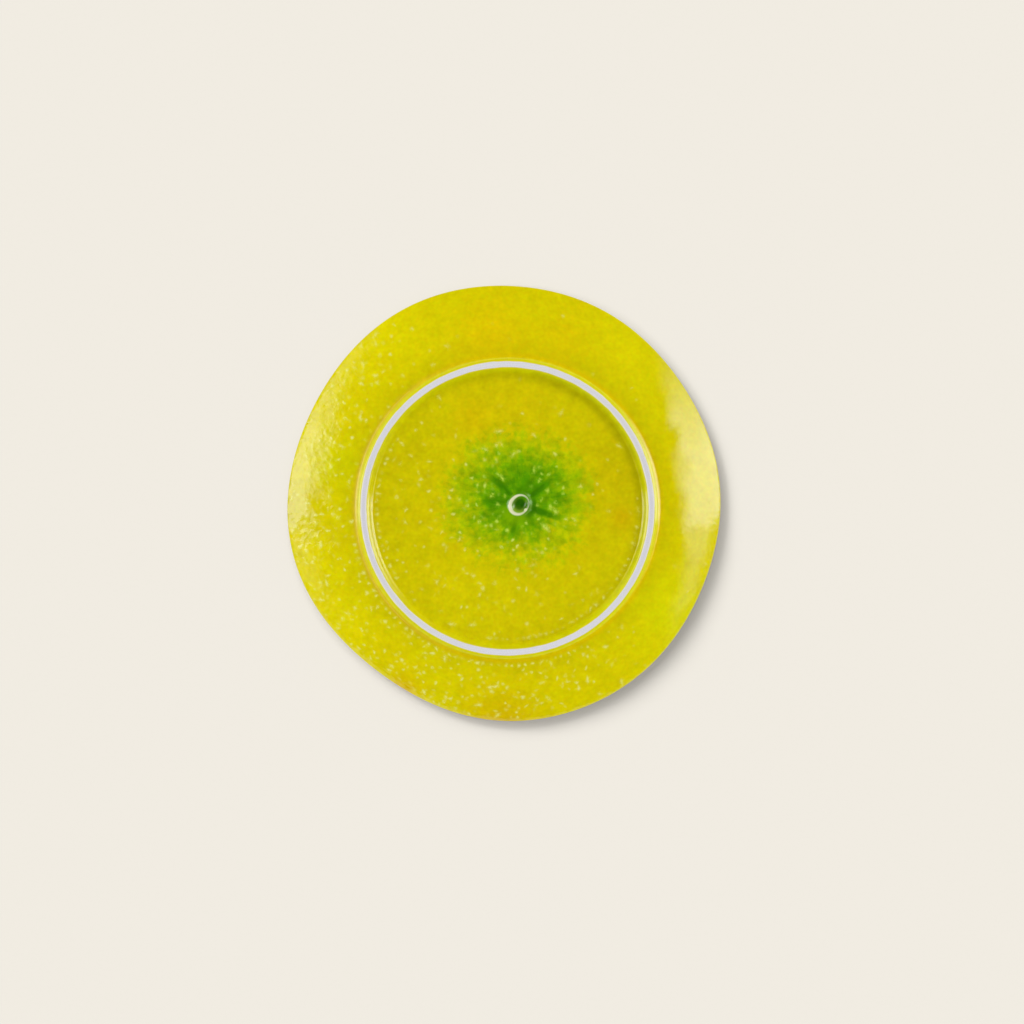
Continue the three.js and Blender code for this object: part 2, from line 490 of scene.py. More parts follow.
# %% Throw the pores between them
pores = thrown(disc_candidates(dice, 60000, shoulder_end).tolist(), pore_spacing, grains.tolist())
pores = pores[room_for_marks(pores)]
pore_total = len(pores)
middles = np.vstack((grains, pores))
is_grain = np.arange(len(middles)) < grain_total
print("pores:", pore_total)

# %% The size, heading, bow and height of each mark
coarse_here = coarseness(*middles.T)
grain_size = 0.9 + 0.6 * dice.random(grain_total) ** 1.2
grain_long = 1 + 2.2 * dice.random(grain_total) ** 2.2
pore_size = 0.65 + 0.5 * dice.random(pore_total)
pore_long = 1 + 0.5 * dice.random(pore_total) ** 2
size, long = np.concatenate((grain_size, pore_size)), np.concatenate((grain_long, pore_long))
mark_half = np.column_stack((size * long**0.6, size / long**0.4))
mark_heading = dice.random(len(middles)) * math.tau
by_hand = slice(0, len(stem_grains))
mark_half[by_hand] = np.column_stack((1.2 * stem_half, 0.7 + 0.2 * stem_half))
mark_heading[by_hand] = np.radians(stem_heading)
mark_bow = np.where(is_grain, dice.normal(0, 0.45, len(middles)) * (mark_half[:, 0] > 1.4), 0)
mark_wave = dice.random(len(middles)) * math.tau
strength = dice.random(len(middles))
strength[by_hand] = 0.95
grain_height, pore_depth = size * (0.05 + 0.1 * strength), size * (0.03 + 0.1 * coarse_here * strength)
mark_height = np.where(is_grain, grain_height, -pore_depth)
# How pale each grain is painted: partly pale body, partly painted glint, stronger where the rind is coarse.
mark_pale_and_glint = np.where(is_grain, (0.1 + 0.7 * strength**1.8) * np.clip(0.5 + 0.5 * coarse_here, 0, 0.9), 0)
longest, deepest = 2 * mark_half[is_grain].max(), -mark_height.min()
print(f"grains up to {longest:.1f} mm long, pores up to {deepest:.2f} mm deep")

# %% Rings of points round each middle, and the points between marks
ring_spacing, between_spacing, border_gap = 0.24, 0.98, 0.3


def mark_ring(which, share, count):
    turn = mark_wave[which, None] + share * 9 + np.arange(count) * math.tau / count
    along = share * np.cos(turn)
    aside = (share * np.sin(turn) + mark_bow[which, None] * along**2) * mark_half[which, 1:]
    ring = turned(along * mark_half[which, :1], aside, mark_heading[which, None])
    return (middles[which, None] + np.stack(ring, -1)).reshape(-1, 2)


scar_rings = []
for distance in np.arange(0, scar_reach, 0.42):
    count = max(1, round(math.tau * distance / 0.5))
    turn = np.arange(count) * math.tau / count + distance
    scar_rings.append(placed(distance * scar_ridge_radius(turn) / scar_radius, turn, (scar_x, scar_y)))
scar_points = np.vstack(scar_rings)
rings = [mark_ring(is_grain, share, count) for share, count in ((0.36, 6), (0.68, 9), (1.02, 9))]
rings += [mark_ring(~is_grain, share, count) for share, count in ((0.5, 6), (1.02, 8))]
first = np.vstack((scar_points, middles))
ring_marks = thrown(np.vstack(rings).tolist(), ring_spacing, first.tolist())
between_candidates = disc_candidates(dice, 60000, shoulder_end).tolist()
between = thrown(between_candidates, between_spacing, np.vstack((first, ring_marks)).tolist())
added = np.vstack((ring_marks, between))
added = added[off_the_rings(added, border_gap, border_gap)]
print(f"scar points: {len(scar_points)}, points in and between marks: {len(added)}")

# %% [markdown]
# ## One closed skin
#
# The foot ring, the lip and the eating face are rings of quads, because they are turned shapes. The panel
# and the shoulder are filled with triangles between the loose points, by Blender's own Delaunay
# triangulation, which keeps the rings at their borders as fixed edges. All of it shares one list of
# vertices, so the skin is closed.

# %% Gather the vertices
sector_count = 360
around = placed(1, np.arange(sector_count) * math.tau / sector_count)


def ring_points(line):
    return (line[:, None, :1] * around).reshape(-1, 2), np.repeat(line[:, 1], sector_count)


foot_plan, foot_heights = ring_points(foot_line)
back_plan, back_heights = ring_points(back_line)
loose_plan = np.vstack((first, added))
loose_heights = underside_height(np.hypot(*loose_plan.T))
plan = np.vstack((foot_plan, loose_plan, back_plan, [[0, 0]]))
heights = np.concatenate((foot_heights, loose_heights, back_heights, [well_height]))
loose_start = len(foot_plan)
back_start = loose_start + len(loose_plan)
underside = np.zeros(len(plan))
underside[:back_start] = 1
print("vertices:", len(plan))

# %% Press the marks into the vertices
raised, sunk, pale = np.zeros(len(plan)), np.zeros(len(plan)), np.zeros(len(plan))
finder = KDTree(len(loose_plan))
for number, point in enumerate(loose_plan.tolist()):
    finder.insert((*point, 0), number)
finder.balance()
for number, middle in enumerate(middles.tolist()):
    half, bow = mark_half[number], mark_bow[number]
    reach = half[0] * 1.15 + abs(bow) * half[1]
    near = np.array([index for _, index, _ in finder.find_range((*middle, 0), reach)])
    along, aside = turned(*(loose_plan[near] - middle).T, -mark_heading[number])
    along = along / half[0]
    aside = aside / half[1] - bow * along**2
    share = np.hypot(along, aside) * (1 + 0.12 * np.cos(3 * np.arctan2(aside, along) + mark_wave[number]))
    profile = np.clip(1 - share**2, 0, 1) ** 2
    near = near + loose_start
    raised[near] = np.maximum(raised[near], profile * mark_height[number])
    sunk[near] = np.maximum(sunk[near], -profile * mark_height[number])
    pale[near] = np.maximum(pale[near], profile * mark_pale_and_glint[number])
print(f"raised up to {raised.max():.2f} mm, sunk up to {sunk.max():.2f} mm")

# %% Quads between rings, triangles between loose points
def ring_at(start, number):
    return start + number * sector_count + np.arange(sector_count)


def quads(start, ring_total):
    faces = []
    for number in range(ring_total - 1):
        near, far = ring_at(start, number), ring_at(start, number + 1)
        faces += np.column_stack((near, far, np.roll(far, -1), np.roll(near, -1))).tolist()
    return faces


def filled(loose, borders):
    """Triangles between the loose vertices and the border rings, facing up."""
    members = np.concatenate((loose, *borders))
    edges, offset = [], len(loose)
    for border in borders:
        numbers = offset + np.arange(len(border))
        edges += np.column_stack((numbers, np.roll(numbers, -1))).tolist()
        offset += len(border)
    points = [Vector(point) for point in plan[members].tolist()]
    made = delaunay_2d_cdt(points, edges, [], 1, 1e-7)
    triangles = np.array([face for face in made[2] if len(face) == 3])
    assert len(made[0]) == len(points), "the triangulation merged or added points"
    a, b, c = (plan[members[triangles[:, i]]] for i in range(3))
    turn = (b[:, 0] - a[:, 0]) * (c[:, 1] - a[:, 1]) - (b[:, 1] - a[:, 1]) * (c[:, 0] - a[:, 0])
    triangles[turn < 0] = triangles[turn < 0][:, ::-1]
    reach = np.hypot(*((a + b + c) / 3).T)
    in_hole = (triangles >= len(loose)).all(1) & (reach < np.hypot(*plan[borders[0][0]]))
    return members[triangles[~in_hole] if len(borders) > 1 else triangles].tolist()


loose = np.arange(loose_start, back_start)
on_panel = np.hypot(*plan[loose].T) < foot_inner
shoulder_borders = [ring_at(0, len(foot_line) - 1), ring_at(back_start, 0)]
faces = quads(0, len(foot_line)) + quads(back_start, len(back_line))
faces += filled(loose[on_panel], [ring_at(0, 0)])
faces += filled(loose[~on_panel], shoulder_borders)
well_ring = ring_at(back_start, len(back_line) - 1)
well_middle = np.full(sector_count, len(plan) - 1)
faces += np.column_stack((well_ring, well_middle, np.roll(well_ring, -1))).tolist()
print("triangles:", sum(len(face) - 2 for face in faces))

# %% Give every vertex its place
radius = np.hypot(*plan.T)
x, y = stretched(*plan.T)
clear_of_foot = np.clip(abs(radius - foot_centre) / 8 - 0.4, 0, 1)
wave_share = clear_of_foot * (1 - 0.8 * near_lip(radius))
z = heights + underside * (relief(x, y, radius) + raised - sunk + wave_share * clay_waves(x, y))
distance, direction = scar_polar(x, y)
turn_from_ring = np.arctan2(y, x)
print(f"underside from {z[:back_start].min():.1f} to {z.max():.1f} mm up")

# %% [markdown]
# ## Where the glaze pools, thins and drifts
#
# Glaze runs off edges and gathers in hollows, and a sprayed colour is never even. These differences
# follow the form, so they are worked out at the vertices and saved as attributes, and the material looks
# them up by name. Light and shade are painted here too: a lighter shoulder, foot ring walls lighter where
# they face the light, a darker inner fillet where it faces away, a darker left rim, and a painted glint
# and painted light on the scar. A blot is a soft round patch where the green reaches farther out, or less
# far. Each drift is a soft round cloud: its direction and distance from the ring's middle, its spread, how
# far it leans to amber and how much lighter it is. Last comes the share of fine peel, which is largest
# where the rind is coarse.

# %% Pooled and thinned glaze
def weight(*shares):
    return np.clip(sum(shares), 0, 1) * underside


def facing_way(direction, degrees):
    """1 where a direction is this heading, 0 across it and -1 behind it."""
    return np.cos(direction - math.radians(degrees))


from_inner, from_outer = radius - foot_inner, radius - foot_outer
shaded_side = 0.5 + 0.5 * facing_way(turn_from_ring, 35)
from_ridge = distance - scar_ridge_radius(direction)
scar_thick = 0.8 - 0.25 * facing_way(direction, 15)
scar_pale = weight(bump(from_ridge, scar_thick) * (0.8 - 0.25 * np.cos(direction)))
# Painted glint: a small white spot on the inner side of the scar's ridge at its lower right, added to the
# pale crest.
glint = bump(np.hypot(x - scar_x - 2.75, y - scar_y + 2.35), 0.55)
scar_flank = weight(bump(from_ridge - 1.2, 0.75)) * rise(np.cos(direction), 0, 0.7)
satin_fillet = weight(bump(from_outer - 2.7, 0.7)) * rise(-np.cos(turn_from_ring), 0.2, 0.9)
paint = {
    "underside": underside,
    "on_panel": (radius < foot_inner) * underside,
    # Paleness of the grains: partly pale body, partly painted glints.
    "grain": pale,
    "pooled": weight(bump(from_outer - 2.7, 1.15)),
    # Painted shade: the inner fillet is darker on the side of the ring whose wall faces away from the light.
    "inner_fillet_shade": weight(bump(from_inner + 3.4, 2.3) * shaded_side**2),
    "thinned": weight(bump(from_inner + 0.2, 0.5), bump(from_outer - 0.2, 0.55)),
    "furrowed": weight(furrow_depth(distance, direction), dent_depth(x, y) / 0.8),
    "sideways": facing_way(turn_from_ring, 10) ** 2,
    "scar_pale": np.clip(scar_pale + 1.2 * glint, 0, 1),
    # Painted light on the scar's inner wall, where it faces the light.
    "scar_lit": weight(bump(distance - 3.1, 1.0) * (0.5 - 0.5 * facing_way(direction, 50))),
    "scar_flank": scar_flank,
    "satin": scar_flank * 0.3 + satin_fillet * 0.3,
}
print(f"pooled glaze on {(paint['pooled'] > 0.5).mean() * 100:.1f} % of the vertices")

# %% Blots of the green splash
def soft_spot(heading, reach, spread, middle=(0, 0)):
    """1 at a heading, in degrees, and a distance from a middle, and less and less round that."""
    spot_x, spot_y = placed(reach, math.radians(heading), middle)[0]
    return bump(np.hypot(x - spot_x, y - spot_y), spread)


blots = (  # direction and distance from the scar, spread, how many millimetres nearer the green reaches
    (179, 10, 2.6, 12),
    (176, 15, 2.6, 6),
    (38, 12, 2.2, 5),
    (40, 24, 3, 3),
    (255, 15, 2.2, 3),
    (12, 11.5, 3, -7),
    (12, 20, 3, 4),
    (10, 27, 3.5, -3),
    (325, 11.5, 2.2, -5),
    (325, 20, 4, -6),
    (275, 21, 4, -5),
    (252, 8, 2.2, -6),
    (252, 24, 4, -4),
    (150, 7.5, 2, -3),
    (150, 20, 4, -4),
    (62, 28, 5, -3),
    (200, 26, 7, 4),
    (155, 25, 5, 4),
    (20, 31, 6, 3),
    (120, 7, 2, -3),
    (135, 36, 9, 4),
    (165, 36, 9, 4),
    (195, 36, 9, 4),
    (312, 34, 8, 3),
    (75, 34, 7, -4),
)
paint["nearer"] = sum(shift * soft_spot(*spot, (scar_x, scar_y)) for *spot, shift in blots)
print(f"the green reaches up to {paint['nearer'].max():.1f} mm farther")

# %% Drifts of colour
drifts = (  # direction in degrees, distance, spread, lean to amber, lightness
    (20, 52, 24, 0.05, -0.07),
    (-5, 55, 5, 0.4, 0),
    (85, 50, 12, 0.12, 0.03),
    (112, 47, 9, 0.24, 0.05),
    (165, 52, 20, 0, -0.03),
    (250, 50, 26, 0, 0.05),
    (95, 84, 17, 0.3, 0.07),
    (72, 86, 12, 0.18, 0.02),
    (125, 98, 14, 0, 0.06),
    (240, 101, 7, 0.45, -0.05),
    (268, 106, 15, 0.42, -0.12),
    (-32, 92, 18, -0.2, 0.05),
    (165, 83, 13, -0.18, -0.03),
    (55, 96, 14, 0, 0.05),
    (215, 98, 12, 0, 0.06),
    # Painted shade: this drift darkens the left rim against the strong light from the left.
    (180, 107, 14, 0, -0.13),
)
# Painted light: the shoulder is a tenth lighter than the panel, partly thinner glaze and partly painted light
# that its slopes catch.
amber, lightness = 0.33, 1 + 0.1 * rise(from_outer, 3, 16)
for *spot, amber_share, light_share in drifts:
    cloud = soft_spot(*spot)
    amber, lightness = amber + amber_share * cloud, lightness + light_share * cloud
print(f"amber {amber[:back_start].min():.2f} to {amber[:back_start].max():.2f}")

# %% The walls of the foot ring
# Painted light and shade: the outer wall is painted lighter all round and most on the right, the inner wall
# and fillet lighter where they face the light, and the inner wall less amber where it faces away from it.
lit_side = 1 - shaded_side
inner_wall, outer_wall = bump(from_inner + 1.3, 1.2), bump(from_outer - 1.5, 1.8)
lit_wall = 0.12 + 0.12 * np.clip(facing_way(turn_from_ring, 10), -0.5, 1)
lightness = lightness + 0.05 * bump(from_inner + 2.6, 1.6) * lit_side
lightness = lightness + lit_wall * outer_wall + 0.13 * inner_wall * lit_side
paint["lightness"] = lightness
paint["amber"] = amber - 0.45 * inner_wall * shaded_side - 0.28 * bump(from_outer - 1.1, 1.1)
print(f"lightness {lightness[:back_start].min():.2f} to {lightness[:back_start].max():.2f}")

# %% Where the glaze is peeled like an orange
clear_of_scar = rise(distance, 5, 9)
paint["peel"] = underside * clear_of_foot * clear_of_scar * (0.4 + np.clip(coarseness(x, y), 0, 1))
print(f"peel on {(paint['peel'] > 0.5).mean() * 100:.0f} % of the vertices")

# %% Make the mesh
def add_object(name, data):
    """A new object in the scene, made from a mesh, a lamp or a camera."""
    thing = bpy.data.objects.new(name, data)
    bpy.context.scene.collection.objects.link(thing)
    return thing


plate_mesh = bpy.data.meshes.new("lemon_plate")
corners = np.column_stack((x + foot_middle[0], y + foot_middle[1], z)) * MM
plate_mesh.from_pydata(corners.tolist(), [], faces)
plate_mesh.shade_smooth()
for name, values in paint.items():
    plate_mesh.attributes.new(name, "FLOAT", "POINT").data.foreach_set("value", values.astype(np.float32))
plate = add_object("lemon_plate", plate_mesh)
print("attributes:", len(plate_mesh.attributes))

# %% Check that it is closed and lies on the solid
edge_uses = {}
for face in faces:
    for edge in zip(face, face[1:] + face[:1]):
        edge_uses[edge] = edge_uses.get(edge, 0) + 1
open_edges = [edge for edge, uses in edge_uses.items() if uses != 1 or edge[::-1] not in edge_uses]
mid_wall = (panel_height + well_height) / 2
top_side = (solid - (*foot_middle, 0))[solid[:, 2] > mid_wall]
top_radius = np.hypot(*top_side[:, :2].T)
checked = (top_radius < foot_inner - 5.6) & (top_radius > 0.1)
expected = panel_height + relief(*top_side[:, :2].T, top_radius)
difference = abs(top_side[:, 2] - expected)[checked]
print(f"open or doubled edges: {len(open_edges)}")
print(f"panel against the solid: {difference.mean():.3f} mm apart on average, {difference.max():.3f} at most")

# %% [markdown]
# ## Writing shader maths
#
# A material is a graph of nodes. Written out node by node it is hard to read, so one small class wraps a
# socket and lets Python's operators add the Math nodes, and one method adds any other node: its settings
# first, then the values or links of its sockets.

# %% The finish and its fields
class Field:
    """A value that varies over a surface or over the world: one output socket of a node."""

    def __init__(self, finish, node, output=0):
        self.finish, self.node, self.socket = finish, node, node.outputs[output]

    def output(self, name):
        return Field(self.finish, self.node, name)

    def __add__(self, other):
        return self.finish.maths("ADD", self, other)

    def __sub__(self, other):
        return self.finish.maths("SUBTRACT", self, other)

    def __rsub__(self, other):
        return self.finish.maths("SUBTRACT", other, self)

    def __mul__(self, other):
        return self.finish.maths("MULTIPLY", self, other)

    __radd__ = __add__
    __rmul__ = __mul__


class Finish:
    """The nodes of a material or a world under construction."""

    def __init__(self, owner):
        owner.use_nodes = True
        self.owner, self.tree = owner, owner.node_tree
        self.tree.nodes.clear()

    def node(self, kind, settings=None, sockets=None, output=0):
        node = self.tree.nodes.new("ShaderNode" + kind)
        for name, value in (settings or {}).items():
            setattr(node, name, value)
        for name, value in (sockets or {}).items():
            if isinstance(value, Field):
                self.tree.links.new(value.socket, node.inputs[name])
            else:
                node.inputs[name].default_value = value
        return Field(self, node, output) if node.outputs else None

    def maths(self, operation, first, second=0.0):
        return self.node("Math", {"operation": operation}, {0: first, 1: second})

    def painted(self, name):
        return self.node("Attribute", {"attribute_name": name}, output="Fac")

    def ramp(self, value, start, end, kind="LINEAR"):
        sockets = {"Value": value, "From Min": start, "From Max": end}
        return self.node("MapRange", {"interpolation_type": kind}, sockets)

    def smooth(self, value, start, end):
        return self.ramp(value, start, end, "SMOOTHSTEP")

    def vector(self, operation, first, second=(0, 0, 0), output=0):
        return self.node("VectorMath", {"operation": operation}, {0: first, 1: second}, output)

    def scaled(self, vector, factor):
        return self.node("VectorMath", {"operation": "SCALE"}, {0: vector, "Scale": factor})

    def mixed(self, mask, under, over):
        return self.node("Mix", {"data_type": "RGBA"}, {0: mask, 6: under, 7: over}, output=2)

    def coated(self, skin, *coats):
        """The skin under some coats, each a mask and a colour, the last one on top."""
        for mask, coat in coats:
            skin = self.mixed(mask, skin, coat)
        return skin

    def noise(self, place, size, detail=2.0, roughness=0.5):
        sockets = {"Vector": place, "Scale": 1 / size, "Detail": detail, "Roughness": roughness}
        return self.node("TexNoise", None, sockets)

    def shaded(self, sockets):
        shader = self.node("BsdfPrincipled", None, sockets)
        self.node("OutputMaterial", None, {"Surface": shader})
        return self.owner


def colour(red, green, blue):
    """A colour as seen on a screen, 0 to 255, as the linear values that a shader takes."""
    shares = [channel / 255 for channel in (red, green, blue)]
    return (*[s / 12.92 if s <= 0.04045 else ((s + 0.055) / 1.055) ** 2.4 for s in shares], 1.0)


print("lemon yellow as linear values:", [round(channel, 3) for channel in colour(205, 195, 0)])

# %% [markdown]
# ## The glaze
#
# On the real plate this is a clear yellow glaze over a pale body. It is thicker in some places than in
# others, so it wanders between lemon and amber in clouds, patches and flecks. Three noises of falling
# size make that lean, and the drifts painted at the vertices are added to it. Three more make it a little
# uneven in lightness, and it is deeper where it has pooled beside the foot ring.

# %% Lemon and amber
glaze = Finish(bpy.data.materials.new("lemon_glaze"))
place = glaze.scaled(glaze.node("TexCoord", output="Object"), 1 / MM)
underside_mask = glaze.painted("underside")
cloud = glaze.noise(place, 24, 3, 0.6)
patch = glaze.noise(place, 5, 3, 0.6)
fleck = glaze.noise(place, 1.6, 0.5)
tone = cloud * 0.25 + patch * 0.35 + fleck * 0.44
lean = glaze.painted("amber") + (tone - 0.52) * 0.8
fine = glaze.noise(place, 1.7, 0)
shade = glaze.noise(place, 4, 1.5, 0.6)
broad_shade = glaze.noise(place, 7.5, 1)
uneven = (fine - 0.5) * 0.13 + (shade - 0.5) * 0.28 + (broad_shade - 0.5) * 0.17
yellow = glaze.coated(
    glaze.mixed(lean, colour(201, 203, 0), colour(213, 172, 0)),
    (glaze.painted("pooled") * 0.9, colour(208, 181, 0)),
    # Painted shade in the inner fillet, on the side that faces away from the light.
    (glaze.painted("inner_fillet_shade") * 0.85, colour(174, 166, 0)),
)
# The painted lightness holds the drifts and also the painted light and shade of the shoulder, the foot ring
# and the left rim.
yellow = glaze.scaled(yellow, glaze.painted("lightness") + uneven * (1 + glaze.painted("on_panel") * 0.15))
print("nodes for the yellow:", len(glaze.tree.nodes))

# %% [markdown]
# ## The green splash
#
# Green glaze was dropped on the scar and ran outwards as it melted, so it is streaked along the radii, it
# feathers at its end and it lies deep in the furrows. Distance from the scar, disturbed by noises that
# stretch along the radii and by the painted blots, runs through a row of greens until it is yellow. It
# ran farther to some sides than to others, so a few terms look at the heading from the scar.

# %% Places round the scar
def flat_from(middle_x, middle_y):
    """The level way to each point of the plate from the upright line through a middle."""
    return glaze.vector("MULTIPLY", glaze.vector("SUBTRACT", place, (middle_x, middle_y, 0)), (1, 1, 0))


flat_way = flat_from(foot_middle[0] + scar_x, foot_middle[1] + scar_y)
scar_distance = glaze.vector("LENGTH", flat_way, output="Value")
way = glaze.vector("NORMALIZE", flat_way)


def streaks(rate, run, detail):
    """A noise that is drawn out along the radii: rate is how often it changes round the scar."""
    streak_place = glaze.vector("ADD", glaze.scaled(way, rate), glaze.scaled(flat_way, run))
    return glaze.noise(streak_place, 1.0, detail, 0.65)


broad_streak, feather = streaks(3.2, 0.06, 4), streaks(9, 0.1, 3)
blotch = glaze.noise(place, 3, 4, 0.65)
blot = glaze.smooth(blotch, 0.35, 0.65)
mottle = glaze.noise(place, 2.4, 1)
print("nodes with the streaks:", len(glaze.tree.nodes))

# %% The greens
def facing(degrees):
    """1 in that direction from the scar, 0 across it and -1 behind it."""
    turn = math.radians(degrees)
    return glaze.vector("DOT_PRODUCT", way, (math.cos(turn), math.sin(turn), 0), "Value")


furrow_mask = glaze.painted("furrowed")
pull = facing(275) * 3 - glaze.smooth(facing(32), 0.2, 1) * 3
wash = scar_distance + pull + (broad_streak - 0.5) * 13 + (feather - 0.5) * 11 + (blot - 0.5) * 7
wash = wash + (mottle - 0.5) * 7 - glaze.painted("nearer")
wash = glaze.smooth(wash - furrow_mask * 9, 3, 38) + (1 - underside_mask)
greens = (
    (0.0, colour(78, 143, 1)),
    (0.13, colour(98, 154, 1)),
    (0.27, colour(113, 163, 1)),
    (0.45, colour(138, 174, 1)),
    (0.65, colour(160, 182, 1)),
    (0.85, colour(182, 190, 1)),
)
skin = greens[0][1]
for (start, _), (end, green) in zip(greens, greens[1:]):
    skin = glaze.mixed(glaze.ramp(wash, start, end), skin, green)
skin = glaze.scaled(skin, 1 + (shade - 0.5) * 0.8)
skin = glaze.mixed(glaze.ramp(wash, 0.85, 1.0), skin, yellow)
print("greens:", len(greens))

# %% Dark arms in the furrows and the bottom of the scar
arm = glaze.smooth(furrow_mask + (blotch - 0.5) * 1.3 + (feather - 0.5) * 0.8, 0.06, 0.75)
arm = arm * (1 - glaze.smooth(wash, 0.3, 0.85)) * glaze.smooth(furrow_mask, 0.02, 0.25)
near_scar = 1 - glaze.smooth(scar_distance, 7, 13)
nearest = 1 - glaze.smooth(scar_distance, 6.5, 9.5)
in_scar = (1 - glaze.smooth(scar_distance, 2.2, 3.9)) * underside_mask
skin = glaze.coated(
    skin,
    (arm * 0.8, colour(58, 122, 1)),
    (near_scar * glaze.smooth(facing(250), 0, 1) * 0.7, colour(128, 174, 1)),
    (nearest * glaze.smooth(facing(345), 0.5, 1) * 0.8, colour(52, 112, 1)),
    (glaze.painted("scar_flank") * 0.5, colour(112, 166, 3)),
    (in_scar * 0.85, colour(34, 92, 4)),
)
print("nodes with the splash:", len(glaze.tree.nodes))

# %% [markdown]
# ## Pale body under thin glaze, painted glints and painted light
#
# On a raised grain, on the edges of the foot ring and on the crest of the scar the glaze has run thin,
# and the cream body looks through. The grains' cream is also painted glint, so it gathers on the coarse
# side, and the scar has a painted glint on its ridge and painted light on its inner wall. Over a grain it
# is chance where exactly the glaze breaks, so the grains' painted mask is frayed by a fine noise.

# %% Thin glaze
# Painted glints as much as pale body: a yellow ring round a cream middle on each grain.
grain_pale_and_glint_mask = glaze.painted("grain") * glaze.smooth(glaze.noise(place, 0.9, 2, 0.6), 0.25, 0.6)
past_green = glaze.ramp(wash, 0.4, 0.85)
glint_halo = glaze.mixed(past_green, colour(160, 200, 16), colour(216, 216, 14))
cream = glaze.mixed(past_green, colour(198, 224, 90), colour(234, 231, 158))
skin = glaze.coated(
    skin,
    (glaze.painted("thinned") * 0.5, colour(222, 214, 30)),
    (grain_pale_and_glint_mask * 1.8, glint_halo),
    (grain_pale_and_glint_mask * (1.35 - past_green * 0.35), cream),
    # The scar's pale crest, with the painted glint on the ridge.
    (glaze.smooth(glaze.painted("scar_pale"), 0.25, 0.8) * 0.95, colour(230, 229, 192)),
    # Painted light on the scar's inner wall.
    (glaze.painted("scar_lit") * 0.45, colour(150, 178, 60)),
)
print("nodes with the thin glaze:", len(glaze.tree.nodes))

# %% [markdown]
# ## The bare foot
#
# The flat of the foot ring is biscuit: clay without glaze, rough and faintly grey. The line where the
# glaze was wiped off wanders by a fraction of a millimetre, so a slow noise is added to the radius before
# it is compared.

# %% The bare clay of the foot ring
ring_radius = glaze.vector("LENGTH", flat_from(*foot_middle), output="Value")
wander = (glaze.noise(place, 7, 2) - 0.5) * 0.5
past_inner = glaze.smooth(ring_radius + wander, foot_inner, foot_inner + 0.3)
past_outer = glaze.smooth(ring_radius - wander, foot_outer - 0.3, foot_outer)
bare = past_inner * (1 - past_outer) * underside_mask
clay_grain = glaze.noise(place, 0.5, 3, 0.7)
clay = glaze.mixed(glaze.smooth(clay_grain, 0.35, 0.65), colour(209, 207, 211), colour(220, 218, 227))
# Painted highlight and shade: on the left and right the ring's edges are painted near white and the whole
# ring a little darker, as the side lights fall on it.
sideways = glaze.painted("sideways")
ring_edge_highlight = glaze.smooth(glaze.maths("ABSOLUTE", ring_radius - foot_centre), 0.5, 1.5) * sideways
clay = glaze.mixed(ring_edge_highlight * 0.6, glaze.scaled(clay, 1 - sideways * 0.09), colour(245, 242, 230))
skin = glaze.mixed(bare, skin, clay)
print("nodes with the clay:", len(glaze.tree.nodes))

# %% [markdown]
# ## Gloss and peel
#
# The glaze is a glossy glass, with a roughness of a few hundredths, and the clay is matt. On one flank of
# the scar and along one part of the outer fillet it is satin, which is painted at the vertices. Where the
# rind is coarse the glaze follows it down to a size that the mesh doesn't hold, so a low bump, strongest
# where the peel is painted, stands in for that.

# %% Finish the glaze
roughness = 0.07 + bare * 0.6 + glaze.painted("satin") + (patch - 0.5) * 0.04
height = glaze.noise(place, 2.2, 2) * glaze.painted("peel") * 0.12 + bare * clay_grain * 0.05
bumped = glaze.node("Bump", None, {"Strength": 1.0, "Distance": MM, "Height": height})
glaze_sockets = {"Base Color": skin, "Roughness": roughness, "IOR": 1.5, "Normal": bumped}
plate_mesh.materials.append(glaze.shaded(glaze_sockets))
print("nodes in the glaze:", len(glaze.tree.nodes))

# %% [markdown]
# ## The floor
#
# The floor is a plain pale sheet, large enough to fill the view. It is lit more strongly than the plate,
# by lamps of its own, so its colour is set to what should be seen divided by that light. A fifth of what
# is seen is a glow of its own, so that the strip under the lip, which no lamp reaches, doesn't turn
# black.

# %% The floor
floor_side, floor_light, glow_share = 6.0, 10.0, 2.0
floor_corners = [(u * floor_side, v * floor_side, 0) for u, v in ((-1, -1), (1, -1), (1, 1), (-1, 1))]
floor_mesh = bpy.data.meshes.new("floor")
floor_mesh.from_pydata(floor_corners, [], [(0, 1, 2, 3)])
floor = add_object("floor", floor_mesh)
paper = Finish(bpy.data.materials.new("pale_floor"))
paper_grain = paper.noise(paper.node("TexCoord", output="Object"), 0.002, 2)
paper_seen = (0.88, 0.839, 0.76)
paper_pale, paper_dark = ((*[c * k / floor_light for c in paper_seen], 1) for k in (1.008, 0.992))
paper_tone = paper.mixed(paper_grain, paper_dark, paper_pale)
paper_sockets = {"Base Color": paper_tone, "Roughness": 0.9, "Specular IOR Level": 0.0}
paper_sockets |= {"Emission Color": (*paper_seen, 1), "Emission Strength": glow_share / floor_light}
floor_mesh.materials.append(paper.shaded(paper_sockets))
print(f"floor: {2 * floor_side:.0f} m wide, lit {floor_light} times")

# %% [markdown]
# ## The world
#
# The world is a white tent with two low softboxes, right and left. It is made of three lights. What
# lights the plate is almost even, a little stronger from the right and the left. What is mirrored in the
# glaze are the softboxes: sharp and cream in their middles, with a warm glow round them. And a view that
# misses the floor sees the floor's own colour. Azimuth and elevation are in degrees.

# %% Directions in the world
world = bpy.data.worlds.new("white_tent")
bpy.context.scene.world = world
world.cycles.sampling_method = "NONE"
tent = Finish(world)
heading = tent.node("SeparateXYZ", None, {0: tent.node("TexCoord", output="Generated")})
azimuth = tent.maths("ARCTAN2", heading.output("Y"), heading.output("X")) * math.degrees(1)
elevation = tent.maths("ARCSINE", heading.output("Z")) * math.degrees(1)
from_left = tent.maths("MODULO", azimuth + 360, 360) - 180


